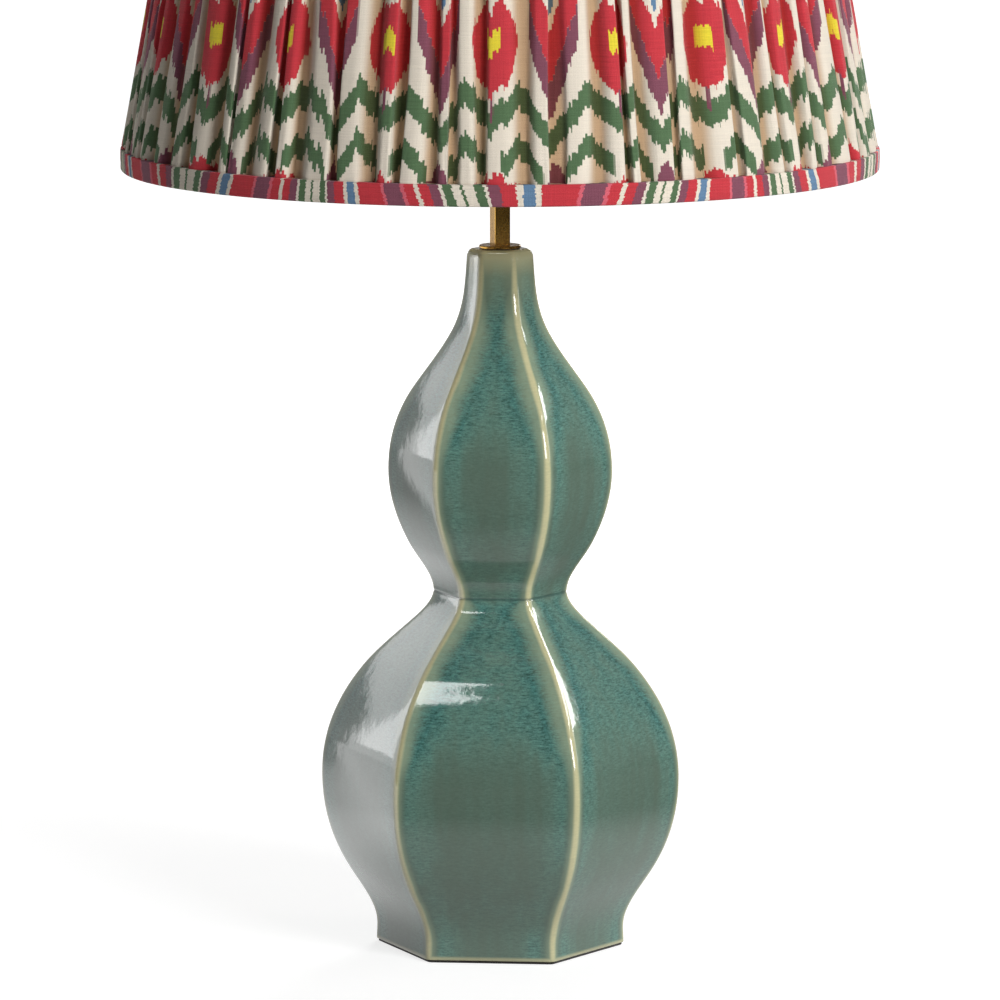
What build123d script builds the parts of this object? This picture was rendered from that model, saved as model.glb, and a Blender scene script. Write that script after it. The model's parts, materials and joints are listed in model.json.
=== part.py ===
from build123d import *
import os
from math import asin, cos, hypot, pi, radians, sin

# A table lamp: a six-sided double gourd in glazed ceramic, a square brass stem, a bayonet
# lampholder and a gathered empire shade that swivels and tilts on a two-arm gimbal.
# Millimetres. The origin is on the table under the middle of the foot, Z is up, the flat
# side of the gourd that faces the viewer looks along -Y and two ridges lie along X.

# ---- Driving dimensions -------------------------------------------------------------
BELLY_WIDTH = 210.0  # widest place, ridge to ridge
HOLDER_TOP = 470.0  # top of the lampholder above the table

# The gourd's outline: height, ridge radius, and radius gained per millimetre of height
GOURD_STATIONS = [
    (1.5, 72.9, 0.0),  # foot
    (16.0, 73.1, 0.21),  # top of the foot ring
    (45.0, 89.3, 0.63),
    (101.0, BELLY_WIDTH / 2, 0.0),  # belly
    (165.0, 80.2, -0.82),
    (192.0, 51.9, -1.13),
    (210.0, 39.1, 0.0),  # waist
    (238.0, 53.7, 0.53),
    (281.0, 65.6, 0.0),  # upper bulb
    (330.0, 50.4, -0.69),
    (366.0, 26.6, -0.45),
    (411.0, 18.9, -0.11),  # mouth of the neck
]
SLICES = 3  # sections between one station and the next
SIDES = 6
RIDGE_ROUND = 3.5  # rounding of a ridge on the gourd
MOUTH_ROUND = 5.5  # rounding of a ridge at the mouth
MOUTH_SHOULDER = 3.6
RIDGE_CHORDS = 3  # short flats round a ridge
SHOULDER_STEPS = 4
WALL = 5.5
HEEL = 9.0  # extra clay inside, just over the foot pocket
HEEL_HEIGHT = 40.0
ROOF = 8.0  # clay left over the cavity at the mouth
MOUTH_HOLE = 12.4

FELT = 1.5
FELT_RADIUS = 71.8
POCKET_RADIUS = 67.0  # pocket under the foot, ridge radius
POCKET_TOP = 24.0
BOARD_THICKNESS = 8.0
BOARD_GAP = 0.3

ROD_DIAMETER = 8.0
ROD_BORE = 5.6
ROD_BOTTOM = 5.0
ROD_TOP = 442.5
WASHER = 1.5
WASHER_DIAMETER = 24.0
NUT = 6.5
NUT_FLATS = 13.0

INLET_HEIGHT = 8.9
INLET_BORE = 7.0
INLET_HOLE = 9.6
INLET_FLANGE = 13.0
INLET_OUTSIDE = 63.0  # where the outer lip starts, measured from the lamp's axis
FLANGE_THICKNESS = 1.8

SEAL = 0.6
SEAL_DIAMETER = 23.0
DISC = 1.4
DISC_DIAMETER = 24.5
SPIGOT = 11.8
SPIGOT_LENGTH = 6.0
STEM_SIDE = 9.5
STEM_BORE = 8.3
STEM_TURN = 25.6  # degrees from the front towards +X
STEM_TOP = 435.5

# Lampholder radii and heights
CAP_RADIUS = 15.8
CAP_POCKET = 11.6
CAP_RIM = 447.0  # where the skirt laps over the cap
JOINT_HEIGHT = 450.0  # where cap, insert and barrel meet
LAP_RADIUS = 14.9
SEAT_RADIUS = 14.1
BARREL_OUT = 12.15
BARREL_IN = 11.25
BARREL_TOP = HOLDER_TOP - 0.4
SKIRT_RADIUS = 14.2
SKIRT_BORE = 13.4
SHOULDER_HEIGHT = 453.0  # the shade's carrier rests here
PIN_HEIGHT = 461.5
PIN_DIAMETER = 2.2
PIN_REACH = 13.1
BULB_TURN = 20.0  # degrees from the locked place to the open channel
BULB_PUSH = 1.5
SLOT_GAP = 0.15
CONTACT_SPREAD = 3.6
CONTACT_HEIGHT = 453.9
PLUNGER_BOTTOM = 449.7
PLUNGER_DIAMETER = 3.4
SPRING_BOTTOM = 445.6
INSERT_TOP = 452.0  # clear of the bulb's contacts when they are pushed in
SPRING_WIRE = 0.5
SPRING_TURNS = 3

FIT = 0.05  # running clearance on a radius
GIMBAL_PLATE = 1.8
GIMBAL_WIDTH = 18.5
LUG_REACH = 24.0
ARM_STRIP = 8.0  # width of an arm
ARM_DROP = 4.4  # underside of the arm below the tilt axis
ARM_KNEES = (42.0, 66.0)
TILT_HEIGHT = 468.5
PIVOT_PIN = 3.0
BRACKET_X = 204.5
BRACKET_THICKNESS = 2.0
BRACKET_TOP = 474.0
BRACKET_WIDTH = 10.0
PIVOT_HEAD = 6.0
SIDE_GAP = 0.3
COLLAR_HEIGHT = 7.5
COLLAR_RADIUS = 19.5
COLLAR_FLANGE = 1.8

# Shade
SHADE_BOTTOM = 458.0
SHADE_HEIGHT = 280.0
SHADE_TOP = SHADE_BOTTOM + SHADE_HEIGHT
SHADE_RADIUS = 220.0  # over the lower binding
SHADE_SLOPE = 0.175  # radius lost per millimetre of height
BINDING = 12.4
BINDING_PROUD = 2.0
BINDING_CLOTH = 1.4
FOLDS = 96
FOLD_DEPTH = 3.4
FOLD_CROWN = [(0.0, 0.0), (0.2, 0.72), (0.5, 1.0), (0.8, 0.72)]  # place across a fold, and rise
CLOTH_BACK = 1.0  # cloth behind the deepest valley
RING_ROOM = 0.25  # between the frame and the band round it
RING_WIRE = 3.5
RING_RISE = 3.5  # ring's middle above the shade's edge
STRUT_WIRE = 2.8
STRUTS = 8
WIRE_FLATS = 8  # flats round a frame wire or along a turn of a small spring
RING_FLATS = 48  # flats along a frame ring and round the lining
LINING = 0.8

# Bulb
BULB_CAP_RADIUS = 11.0
BULB_CAP_WALL = 0.5
BULB_CAP_TOP = 472.0
BULB_RADIUS = 30.0
BULB_CENTRE = 532.0
BULB_SPLIT = 512.0
BULB_BANDS = 6  # bands that make the round of the diffuser
ROUND_FLATS = 40  # flats round the bulb

UP = Axis.Z


# ---- Helpers ------------------------------------------------------------------------
def at(height):
    return Plane.XY.offset(height)


def hexagon(radius, rounding):
    """A six-sided section whose rounded ridges reach the radius."""
    sharp = radius + rounding * (1 / cos(pi / SIDES) - 1)
    outline = RegularPolygon(sharp, SIDES)
    return fillet(outline.vertices(), rounding)


def slab(outline, low, high):
    return extrude(at(low) * outline, high - low)


def tube(outer, inner, low, high):
    return slab(Circle(outer) - Circle(inner), low, high)


def turned(*points):
    """A solid turned about the upright axis from an outline of (radius, height) points."""
    outline = Polyline(*[(r, 0, z) for r, z in points], close=True)
    return revolve(make_face(outline), UP)


def faceted(*rings):
    """A solid with flat faces between rings of (x, y, z) points that have the same directions."""
    sides = [
        Face(Wire.make_polygon([a, b, d, c]))
        for low, high in zip(rings, rings[1:])
        for a, b, c, d in zip(low, low[1:] + low[:1], high, high[1:] + high[:1])
    ]
    ends = [Face(Wire.make_polygon(ring)) for ring in (rings[0], rings[-1])]
    return Solid(Shell(sides + ends))


def band_ring(outline, count):
    """A closed band with flat faces, from the (radius, height) points of its section."""
    turns = [2 * pi * n / count for n in range(count)]
    sections = [[(r * cos(a), r * sin(a), z) for r, z in outline] for a in turns]
    faces = [
        Face(Wire.make_polygon([a, b, d, c]))
        for near, far in zip(sections, sections[1:] + sections[:1])
        for a, b, c, d in zip(near, near[1:] + near[:1], far, far[1:] + far[:1])
    ]
    return Solid(Shell(faces))


def regular(radius, count, height):
    turns = [2 * pi * n / count for n in range(count)]
    return [(radius * cos(a), radius * sin(a), height) for a in turns]


def around(item, count, start=0.0):
    return [Rot(0, 0, start + 360 * n / count) * item for n in range(count)]


def ring_wire(radius, height, wire):
    """A wire bent round to a ring, drawn as short straight lengths with mitred ends."""
    path = at(height) * RegularPolygon(radius, RING_FLATS).wire()
    start = Plane(origin=path @ 0, z_dir=path % 0)
    section = RegularPolygon(wire / 2, WIRE_FLATS, rotation=180 / WIRE_FLATS)
    return sweep(start * section, path, transition=Transition.RIGHT)


# ---- Gourd --------------------------------------------------------------------------
def gourd(height):
    """Ridge radius and its slope, from a smooth cubic between two stations."""
    pairs = zip(GOURD_STATIONS, GOURD_STATIONS[1:])
    (z0, r0, s0), (z1, r1, s1) = next(p for p in pairs if height <= p[1][0])
    span = z1 - z0
    t = (height - z0) / span
    radius = (2 * t**3 - 3 * t**2 + 1) * r0 + (3 * t**2 - 2 * t**3) * r1
    radius += span * ((t**3 - 2 * t**2 + t) * s0 + (t**3 - t**2) * s1)
    slope = 6 * (t**2 - t) * (r0 - r1) / span + (3 * t**2 - 4 * t + 1) * s0 + (3 * t**2 - 2 * t) * s1
    return radius, slope


def heights(low, high):
    """Section heights: the two ends and the slices of each stretch between stations."""
    stops = [low] + [s[0] for s in GOURD_STATIONS if low < s[0] < high] + [high]
    steps = [a + (b - a) * n / SLICES for a, b in zip(stops, stops[1:]) for n in range(SLICES)]
    return steps + [high]


def gourd_ring(radius, rounding, height):
    """Points of a six-sided section whose rounded ridges reach the radius, a few chords to a ridge."""
    centre = radius - rounding
    points = []
    for side in range(SIDES):
        middle = 2 * pi * side / SIDES
        for n in range(RIDGE_CHORDS + 1):
            a = middle + (2 * n / RIDGE_CHORDS - 1) * pi / SIDES
            x = centre * cos(middle) + rounding * cos(a)
            y = centre * sin(middle) + rounding * sin(a)
            points.append((x, y, height))
    return points


def ridge_round(height):
    waist, mouth = GOURD_STATIONS[6][0], GOURD_STATIONS[-1][0]
    share = max(0.0, (height - waist) / (mouth - waist))
    return RIDGE_ROUND + (MOUTH_ROUND - RIDGE_ROUND) * share**3


def cavity_radius(height):
    radius, slope = gourd(height)
    heel = HEEL * max(0.0, 1 - (height - POCKET_TOP) / HEEL_HEIGHT) ** 2
    return radius - WALL * hypot(1, slope) - heel


def ceramic_body():
    foot, mouth = GOURD_STATIONS[0][0], GOURD_STATIONS[-1][0]
    rings = [gourd_ring(gourd(z)[0], ridge_round(z), z) for z in heights(foot, mouth - MOUTH_SHOULDER)]
    for n in range(1, SHOULDER_STEPS + 1):
        turn = pi / 2 * n / SHOULDER_STEPS
        inset, rise = MOUTH_SHOULDER * (1 - cos(turn)), MOUTH_SHOULDER * sin(turn)
        rings.append(gourd_ring(gourd(mouth)[0] - inset, MOUTH_ROUND - inset, mouth - MOUTH_SHOULDER + rise))
    top = mouth - ROOF
    rungs = [POCKET_TOP] + [s[0] for s in GOURD_STATIONS if POCKET_TOP < s[0] < top] + [top]
    inside = faceted(*[regular(cavity_radius(z), SIDES, z) for z in rungs])
    pocket = slab(hexagon(POCKET_RADIUS, RIDGE_ROUND), foot, POCKET_TOP)
    mouth_hole = Pos(0, 0, top) * Cylinder(MOUTH_HOLE / 2, 3 * ROOF)
    inlet = Pos(0, FELT_RADIUS, INLET_HEIGHT) * Rot(90, 0, 0) * Cylinder(INLET_HOLE / 2, WALL * 6)
    return faceted(*rings) - inside - pocket - mouth_hole - inlet


def foot_parts():
    rod = ROD_DIAMETER / 2
    board_low = POCKET_TOP - BOARD_THICKNESS
    board = slab(hexagon(POCKET_RADIUS - BOARD_GAP, RIDGE_ROUND), board_low, POCKET_TOP)
    nut_high = board_low - WASHER
    nut = RegularPolygon(NUT_FLATS / 2, SIDES, major_radius=False) - Circle(rod)
    return {
        "base_felt": slab(hexagon(FELT_RADIUS, RIDGE_ROUND), 0, FELT),
        "base_board": board - Pos(0, 0, POCKET_TOP) * Cylinder(rod + 0.2, 3 * BOARD_THICKNESS),
        "base_washer": tube(WASHER_DIAMETER / 2, rod + 0.2, nut_high, board_low),
        "base_nut": slab(nut, nut_high - NUT, nut_high),
        "tie_rod": tube(rod, ROD_BORE / 2, ROD_BOTTOM, ROD_TOP),
    }


def cable_grommet(clay):
    """Rubber sleeve in the back of the foot, with a lip pressed to the clay on each side."""
    outer_face = INLET_OUTSIDE
    inner_face = POCKET_RADIUS * cos(pi / SIDES) - 0.2
    back = Plane(origin=(0, 0, INLET_HEIGHT), x_dir=(1, 0, 0), z_dir=(0, 1, 0))
    bore = Circle(INLET_BORE / 2)
    neck = extrude(back.offset(inner_face) * (Circle(INLET_HOLE / 2) - bore), outer_face - inner_face)
    lips = Circle(INLET_FLANGE / 2) - bore
    outer = extrude(back.offset(outer_face) * lips, FLANGE_THICKNESS)
    inner = extrude(back.offset(inner_face - FLANGE_THICKNESS) * lips, FLANGE_THICKNESS)
    return (outer + neck + inner - clay).solids().sort_by(SortBy.VOLUME)[-1]


# ---- Neck and stem ------------------------------------------------------------------
def neck_parts():
    mouth = GOURD_STATIONS[-1][0]
    disc_low = mouth + SEAL
    disc_high = disc_low + DISC
    rod = ROD_DIAMETER / 2
    edge, step, hole = DISC_DIAMETER / 2, SPIGOT / 2, rod + 0.1
    disc = turned((hole, disc_high), (edge - 0.5, disc_high), (edge, disc_high - 0.5), (edge, disc_low),
                  (step, disc_low), (step, disc_low - SPIGOT_LENGTH), (hole, disc_low - SPIGOT_LENGTH))
    square = fillet(Rectangle(STEM_SIDE, STEM_SIDE).vertices(), 0.8) - Rectangle(STEM_BORE, STEM_BORE)
    return {
        "neck_seal": tube(SEAL_DIAMETER / 2, MOUTH_HOLE / 2, mouth, disc_low),
        "neck_disc": disc,
        "stem_sleeve": Rot(0, 0, STEM_TURN) * slab(square, disc_high, STEM_TOP),
    }


# ---- Lampholder ---------------------------------------------------------------------
def holder_cap():
    """Domed cup that screws on the rod, with the side grub screw's hole."""
    rod, boss = ROD_DIAMETER / 2, 8.0
    cup = turned(
        (rod, STEM_TOP), (boss, STEM_TOP), (boss, STEM_TOP + 3.5), (CAP_RADIUS, STEM_TOP + 9.0),
        (CAP_RADIUS, CAP_RIM), (LAP_RADIUS, CAP_RIM), (LAP_RADIUS, JOINT_HEIGHT), (SEAT_RADIUS, JOINT_HEIGHT),
        (SEAT_RADIUS, CAP_RIM - 0.4), (CAP_POCKET, CAP_RIM - 0.4), (CAP_POCKET, STEM_TOP + 6.8),
        (rod, STEM_TOP + 6.8),
    )
    return cup - grub_screw()


def grub_screw():
    place = Plane(origin=(0, 0, STEM_TOP + 2.2), x_dir=(0, 1, 0), z_dir=(1, 0, 0))
    return extrude(place.offset(ROD_DIAMETER / 2 + 0.05) * Circle(1.2), 4.2)


def holder_insert():
    """Moulded block that carries the two sprung plungers and the two terminals."""
    low, step = SPRING_BOTTOM - 1.4, CAP_RIM - 0.4
    block = slab(Circle(BARREL_IN - 0.25), low, INSERT_TOP)
    block += slab(Circle(SEAT_RADIUS - 0.05), step, JOINT_HEIGHT)
    bore = slab(Circle(PLUNGER_DIAMETER / 2 + FIT), SPRING_BOTTOM, HOLDER_TOP)
    for side in (1, -1):
        block -= Pos(0, side * CONTACT_SPREAD, 0) * bore
        block -= Pos(side * 8.2, 0, 0) * slab(Circle(1.4), low, JOINT_HEIGHT)
    return block


def terminal_screws():
    low = SPRING_BOTTOM - 1.4
    screw = slab(Circle(1.4), low, JOINT_HEIGHT) + slab(Circle(2.3), low - 1.4, low)
    return [Pos(side * 8.2, 0, 0) * screw for side in (1, -1)]


def bayonet_slot():
    """Down the channel, then across to the locked place on +X, with room to push."""
    half = (PIN_DIAMETER / 2 + SLOT_GAP) / BARREL_IN * 180 / pi
    low = PIN_HEIGHT - PIN_DIAMETER / 2 - BULB_PUSH - SLOT_GAP
    high = PIN_HEIGHT + PIN_DIAMETER / 2 + SLOT_GAP
    run = Plane.XZ * Pos(BARREL_OUT, (low + high) / 2) * Rectangle(3, high - low)
    channel = Plane.XZ * Pos(BARREL_OUT, (low + HOLDER_TOP) / 2) * Rectangle(3, HOLDER_TOP - low)
    across = Rot(0, 0, -half) * revolve(run, UP, revolution_arc=BULB_TURN + 2 * half)
    down = Rot(0, 0, BULB_TURN - half) * revolve(channel, UP, revolution_arc=2 * half)
    return across + down


def holder_shell_parts():
    barrel = tube(BARREL_OUT, BARREL_IN, JOINT_HEIGHT, BARREL_TOP)
    barrel += tube(SEAT_RADIUS - 0.05, BARREL_IN, JOINT_HEIGHT, JOINT_HEIGHT + 1)
    for slot in around(bayonet_slot(), 2):
        barrel -= slot
    skirt = turned(
        (LAP_RADIUS, CAP_RIM), (CAP_RADIUS, CAP_RIM), (CAP_RADIUS, SHOULDER_HEIGHT),
        (SKIRT_RADIUS, SHOULDER_HEIGHT), (SKIRT_RADIUS, HOLDER_TOP), (SKIRT_BORE, HOLDER_TOP),
        (SKIRT_BORE, JOINT_HEIGHT + 1.05),
        (SEAT_RADIUS, JOINT_HEIGHT + 1.05), (SEAT_RADIUS, JOINT_HEIGHT), (LAP_RADIUS, JOINT_HEIGHT),
    )
    return {"holder_barrel": barrel, "holder_skirt": skirt}


def contact_plungers():
    pin = slab(Circle(PLUNGER_DIAMETER / 2), PLUNGER_BOTTOM, CONTACT_HEIGHT)
    return [Pos(0, side * CONTACT_SPREAD, 0) * pin for side in (1, -1)]


def plunger_springs():
    """One compression spring under each plunger, its coil drawn with short flats."""
    start = SPRING_BOTTOM + SPRING_WIRE / 2 + FIT
    length = PLUNGER_BOTTOM - SPRING_WIRE / 2 - FIT - start
    radius = PLUNGER_DIAMETER / 2 - SPRING_WIRE
    steps = SPRING_TURNS * WIRE_FLATS
    turns = [2 * pi * n / WIRE_FLATS for n in range(steps + 1)]
    points = [(radius * cos(a), radius * sin(a), start + length * n / steps) for n, a in enumerate(turns)]
    path = Polyline(*points)
    section = Plane(origin=path @ 0, z_dir=path % 0) * Rectangle(SPRING_WIRE, SPRING_WIRE)
    coil = sweep(section, path, transition=Transition.RIGHT)
    return [Pos(0, side * CONTACT_SPREAD, 0) * coil for side in (1, -1)]


def shade_ring():
    """Collar that clamps the shade's carrier, with a flange under its gripping band."""
    low = SHOULDER_HEIGHT + 0.1 + GIMBAL_PLATE + 0.1
    bore, high = SKIRT_RADIUS + FIT, low + COLLAR_HEIGHT
    return turned((bore, low), (COLLAR_RADIUS, low), (COLLAR_RADIUS, low + COLLAR_FLANGE),
                  (COLLAR_RADIUS - 1.5, low + COLLAR_FLANGE), (COLLAR_RADIUS - 1.5, high), (bore, high))


# ---- Gimbal -------------------------------------------------------------------------
def gimbal_ring():
    low = SHOULDER_HEIGHT + 0.1
    lugs = Rectangle(2 * LUG_REACH, 9) + Circle(GIMBAL_WIDTH)
    return slab(lugs - Circle(SKIRT_RADIUS + FIT), low, low + GIMBAL_PLATE)


def pivot_round(radius, start, length):
    """A short round bar along the tilt axis."""
    across = Plane(origin=(start, 0, TILT_HEIGHT), x_dir=(0, 1, 0), z_dir=(1, 0, 0))
    return extrude(across * Circle(radius), length)


def gimbal_arms():
    """Flat strips: level off the lugs, up past the collar, level again, and turned up at the end."""
    low = SHOULDER_HEIGHT + 0.1
    high = TILT_HEIGHT - ARM_DROP
    end = BRACKET_X - SIDE_GAP
    top = TILT_HEIGHT + ARM_STRIP / 2
    under = [(LUG_REACH, low), (ARM_KNEES[0], low), (ARM_KNEES[1], high), (end, high), (end, top)]
    over = [(end - GIMBAL_PLATE, top), (end - GIMBAL_PLATE, high + GIMBAL_PLATE),
            (ARM_KNEES[1] - 1, high + GIMBAL_PLATE), (ARM_KNEES[0] - 1, low + GIMBAL_PLATE),
            (LUG_REACH, low + GIMBAL_PLATE)]
    side = make_face(Polyline(*[(x, 0, z) for x, z in under + over], close=True))
    strip = extrude(side, ARM_STRIP / 2, both=True)
    strip += pivot_round(PIVOT_PIN / 2, end, BRACKET_THICKNESS + 2 * SIDE_GAP)
    return around(strip, 2)


def pivot_caps():
    """Riveted head on the end of each pivot pin."""
    head = pivot_round(PIVOT_HEAD / 2, BRACKET_X + BRACKET_THICKNESS + SIDE_GAP, 1.0)
    return around(head, 2)


# ---- Shade --------------------------------------------------------------------------
def crest_radius(height):
    start = SHADE_RADIUS - BINDING_PROUD
    return start - SHADE_SLOPE * (height - SHADE_BOTTOM - BINDING)


def strut_radius(height):
    return crest_radius(height) - FOLD_DEPTH - CLOTH_BACK - 0.25 - STRUT_WIRE / 2


RING_LOW = SHADE_BOTTOM + RING_RISE
RING_HIGH = SHADE_TOP - RING_RISE


def frame_rings():
    low = ring_wire(strut_radius(RING_LOW), RING_LOW, RING_WIRE)
    high = ring_wire(strut_radius(RING_HIGH), RING_HIGH, RING_WIRE)
    return low, high


def frame_struts():
    """Straight wires from ring to ring, butt welded on the rings."""
    start = Vector(strut_radius(RING_LOW), 0, RING_LOW)
    end = Vector(strut_radius(RING_HIGH), 0, RING_HIGH)
    along = (end - start).normalized()
    length = (end - start).length - RING_WIRE
    section = RegularPolygon(STRUT_WIRE / 2, WIRE_FLATS)
    strut = extrude(Plane(origin=start + along * (RING_WIRE / 2), z_dir=along) * section, length)
    return around(strut, STRUTS, 180 / STRUTS)


def pivot_brackets():
    """Bent tabs welded on the lower ring, each with a hole for a pivot pin."""
    seat = RING_LOW + 1.1
    foot_reach = strut_radius(RING_LOW) + 1.0
    half = BRACKET_WIDTH / 2
    corner = Pos(BRACKET_X, -half, seat)
    tab = corner * Box(BRACKET_THICKNESS, BRACKET_WIDTH, BRACKET_TOP - seat, align=(Align.MIN,) * 3)
    foot = corner * Box(foot_reach - BRACKET_X, BRACKET_WIDTH, 1.6, align=(Align.MIN,) * 3)
    hole = pivot_round(PIVOT_PIN / 2 + FIT, BRACKET_X - 1, BRACKET_THICKNESS + 2)
    corners = tab.edges().filter_by(Axis.X).group_by(UP)[-1]
    bracket = fillet(corners, half - 1) + foot - hole - frame_rings()[0]
    return around(bracket, 2)


def notches(radius, low, high):
    """Two blocks on the tilt axis, where cloth and lining are cut round the brackets."""
    block = Pos(radius, 0, (low + high) / 2) * Box(12, BRACKET_WIDTH + 2, high - low)
    return around(block, 2)


def binding(edge, inward):
    """Folded band whose U section wraps a frame ring, with the cover's folds ending on its outer leg.

    edge is the outer edge's height, and inward is +1 where the band opens upwards."""
    mouth = edge + inward * BINDING
    outer = crest_radius(mouth) + BINDING_PROUD
    ring_side = strut_radius(edge + inward * RING_RISE) + RING_WIRE / 2
    leg = max(ring_side, strut_radius(mouth) + STRUT_WIRE / 2) + RING_ROOM
    inner = strut_radius(edge) - RING_WIRE / 2 - 3.8
    lip = edge + inward * 8
    web = edge + inward * BINDING_CLOTH
    soft = 1.2
    outline = [
        (inner, lip), (inner, edge), (outer - soft, edge), (outer, edge + inward * soft), (outer, mouth),
        (leg, mouth), (leg, web), (inner + BINDING_CLOTH, web), (inner + BINDING_CLOTH, lip),
    ]
    band = band_ring(outline, RING_FLATS)
    if inward > 0:
        for block in notches(inner, RING_LOW, lip + 1):
            band -= block
    return band


def fold_edges():
    """Angles of the valleys between folds, uneven as hand gathers are."""
    widths = [1 + 0.28 * sin(2.4 * n) + 0.18 * sin(5.3 * n + 1) for n in range(FOLDS)]
    total = sum(widths)
    angles = [0.0]
    for width in widths:
        angles.append(angles[-1] + 360 * width / total)
    return angles


def gathered_section(height):
    """Points of a ring of crowned folds with sharp valleys between them."""
    crest = crest_radius(height)
    shrink = crest / crest_radius(SHADE_BOTTOM + BINDING)
    angles = fold_edges()
    points = []
    for n, (left, right) in enumerate(zip(angles, angles[1:])):
        valley = crest - FOLD_DEPTH * shrink
        rise = (FOLD_DEPTH - 0.35 * (1 + sin(1.7 * n))) * shrink
        for place, share in FOLD_CROWN:
            angle = radians(left + (right - left) * place)
            radius = valley + rise * share
            points.append((radius * cos(angle), radius * sin(angle), height))
    return points


def shade_cover():
    """Gathered cloth over the frame, from one binding's mouth to the other's."""
    low, high = SHADE_BOTTOM + BINDING, SHADE_TOP - BINDING
    back = FOLD_DEPTH + CLOTH_BACK
    folds = faceted(gathered_section(low), gathered_section(high))
    hollow = faceted(*[regular(crest_radius(z) - back, FOLDS, z) for z in (low, high)])
    return folds - hollow


def shade_lining():
    """Plain cone inside the struts, cut away round the two brackets."""
    low, high = RING_LOW + 1.9, RING_HIGH - 1.9
    inset = STRUT_WIRE / 2 + 0.25

    def cone(skin):
        return faceted(*[regular(strut_radius(z) - inset - skin, RING_FLATS, z) for z in (low, high)])

    lining = cone(0) - cone(LINING)
    for block in notches(strut_radius(low) - inset, low - 1, BRACKET_TOP - 8.5):
        lining -= block
    return lining


# ---- Bulb ---------------------------------------------------------------------------
def bulb_parts():
    low = CONTACT_HEIGHT + 0.7
    shell = tube(BULB_CAP_RADIUS, BULB_CAP_RADIUS - BULB_CAP_WALL, low + 0.6, BULB_CAP_TOP)
    inner = BULB_CAP_RADIUS - BULB_CAP_WALL
    pin_plane = Plane(origin=(0, 0, PIN_HEIGHT), x_dir=(0, 1, 0), z_dir=(1, 0, 0))
    pin = extrude(pin_plane.offset(inner - 1) * Circle(PIN_DIAMETER / 2), PIN_REACH - inner + 1)
    pins = around(pin, 2)
    for each in pins:
        shell -= each
    insulator = slab(Circle(inner), low, low + 3)
    pads = []
    for side in (1, -1):
        pad = Pos(0, side * CONTACT_SPREAD, 0) * slab(Circle(2.3), CONTACT_HEIGHT, low + 1)
        insulator -= pad
        pads.append(pad)

    neck, split = BULB_CAP_RADIUS + 0.8, BULB_SPLIT
    start = asin((split - BULB_CENTRE) / BULB_RADIUS)
    turns = [start + (pi / 2 - start) * n / BULB_BANDS for n in range(BULB_BANDS)]
    ball = [(BULB_RADIUS * cos(a), BULB_CENTRE + BULB_RADIUS * sin(a)) for a in turns]
    body = [(neck, BULB_CAP_TOP), (neck + 1.6, BULB_CAP_TOP + 13), (neck + 5.0, BULB_CAP_TOP + 27), ball[0]]
    diffuser = faceted(*[regular(r, ROUND_FLATS, z) for r, z in ball])
    housing = faceted(*[regular(r, ROUND_FLATS, z) for r, z in body])
    housing += slab(Circle(inner - FIT), BULB_CAP_TOP - 3, BULB_CAP_TOP)
    return {
        "bulb_cap": shell,
        "bulb_pins": pins,
        "bulb_insulator": insulator,
        "bulb_contacts": pads,
        "bulb_housing": housing,
        "bulb_diffuser": diffuser,
    }


# ---- Whole lamp ---------------------------------------------------------------------
def lamp():
    low_ring, high_ring = frame_rings()
    clay = ceramic_body()
    parts = {"ceramic_body": clay, "cable_grommet": cable_grommet(clay)}
    parts |= foot_parts() | neck_parts() | holder_shell_parts()
    parts |= {
        "holder_cap": holder_cap(),
        "holder_grub_screw": grub_screw(),
        "holder_insert": holder_insert(),
        "terminal_screws": terminal_screws(),
        "contact_plungers": contact_plungers(),
        "plunger_springs": plunger_springs(),
        "shade_ring": shade_ring(),
        "gimbal_ring": gimbal_ring(),
        "gimbal_arms": gimbal_arms(),
        "pivot_caps": pivot_caps(),
        "pivot_brackets": pivot_brackets(),
        "frame_bottom_ring": low_ring,
        "frame_top_ring": high_ring,
        "frame_struts": frame_struts(),
        "shade_lining": shade_lining(),
        "shade_cover": shade_cover(),
        "bottom_binding": binding(SHADE_BOTTOM, 1),
        "top_binding": binding(SHADE_TOP, -1),
    }
    return parts | bulb_parts()


os.makedirs("parts", exist_ok=True)
for name, piece in lamp().items():
    solids = [s for item in (piece if isinstance(piece, list) else [piece]) for s in item.solids()]
    export_step(Compound(solids) if len(solids) > 1 else solids[0], f"parts/{name}.step")
    print(name, len(solids), round(sum(s.volume for s in solids)))
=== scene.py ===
import bpy
import json
from math import atan2, cos, exp, hypot, pi, radians, sin, tanh
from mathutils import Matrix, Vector, noise


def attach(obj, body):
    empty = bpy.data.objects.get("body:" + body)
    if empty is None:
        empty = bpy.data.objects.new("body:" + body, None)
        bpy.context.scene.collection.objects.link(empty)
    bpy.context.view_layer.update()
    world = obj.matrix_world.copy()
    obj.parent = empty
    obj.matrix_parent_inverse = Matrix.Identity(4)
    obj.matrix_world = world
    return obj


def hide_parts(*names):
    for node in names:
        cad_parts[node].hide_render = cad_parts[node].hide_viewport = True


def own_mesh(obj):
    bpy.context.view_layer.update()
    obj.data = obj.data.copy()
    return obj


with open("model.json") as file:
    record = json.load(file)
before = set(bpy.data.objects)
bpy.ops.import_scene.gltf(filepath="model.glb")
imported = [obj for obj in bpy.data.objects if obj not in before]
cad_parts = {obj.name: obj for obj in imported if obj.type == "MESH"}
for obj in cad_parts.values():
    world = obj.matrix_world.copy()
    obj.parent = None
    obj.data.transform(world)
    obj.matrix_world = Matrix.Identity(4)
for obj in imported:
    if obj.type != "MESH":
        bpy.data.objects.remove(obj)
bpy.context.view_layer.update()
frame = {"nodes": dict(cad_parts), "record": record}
nodes = frame["nodes"]
mm = 0.001
bpy.context.scene.view_settings.view_transform = "Standard"


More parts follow.
